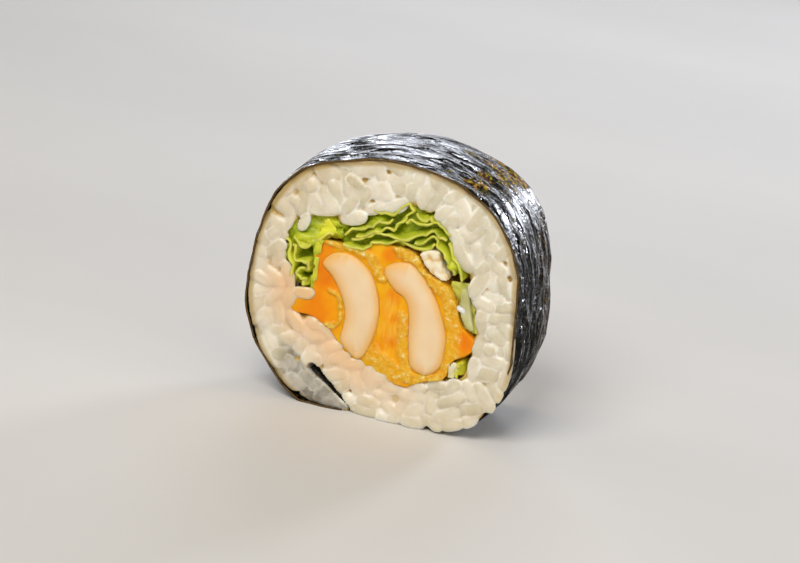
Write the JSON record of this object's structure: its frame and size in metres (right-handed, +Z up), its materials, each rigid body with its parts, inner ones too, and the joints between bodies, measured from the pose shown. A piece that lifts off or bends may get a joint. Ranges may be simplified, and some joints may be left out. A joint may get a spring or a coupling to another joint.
{
  "type": "thick sushi roll slice with squid tempura",
  "caption": "Thick round slice of a sushi roll: nori outside, a ring of white rice, and fried squid strips in golden batter with folded lettuce in the middle.",
  "frame": {"origin": "middle of the bounding box, on the surface that the slice rests on", "axes": "+Z up, +Y along the roll's axis from the front cut to the rear cut, +X to the right seen from the front cut"},
  "size_m": [0.0556, 0.0266, 0.0513],
  "materials": {
    "nori": "dark crinkled seaweed sheet, glossy on its ridges",
    "rice": "moist cooked short grain rice",
    "squid": "smooth cooked squid, slightly translucent",
    "batter": "oily golden orange fried batter",
    "batter_flake": "pale bubbly flake of batter",
    "lettuce": "crisp thin green leaf with pale cut edges",
    "lettuce_rib": "pale translucent leaf rib"
  },
  "bodies": {
    "root": {"nori": "nori", "rice": "rice", "squid_left": "squid", "squid_right": "squid", "batter": "batter", "batter_flake": "batter_flake", "lettuce_under": "lettuce", "lettuce_sheet": "lettuce", "lettuce_inner": "lettuce", "lettuce_side": "lettuce", "lettuce_fold": "lettuce", "lettuce_loop": "lettuce", "lettuce_top": "lettuce", "lettuce_crest": "lettuce", "lettuce_leaf": "lettuce", "lettuce_hem": "lettuce", "lettuce_frill": "lettuce", "lettuce_tip": "lettuce", "lettuce_rib": "lettuce_rib"}
  },
  "joints": []
}
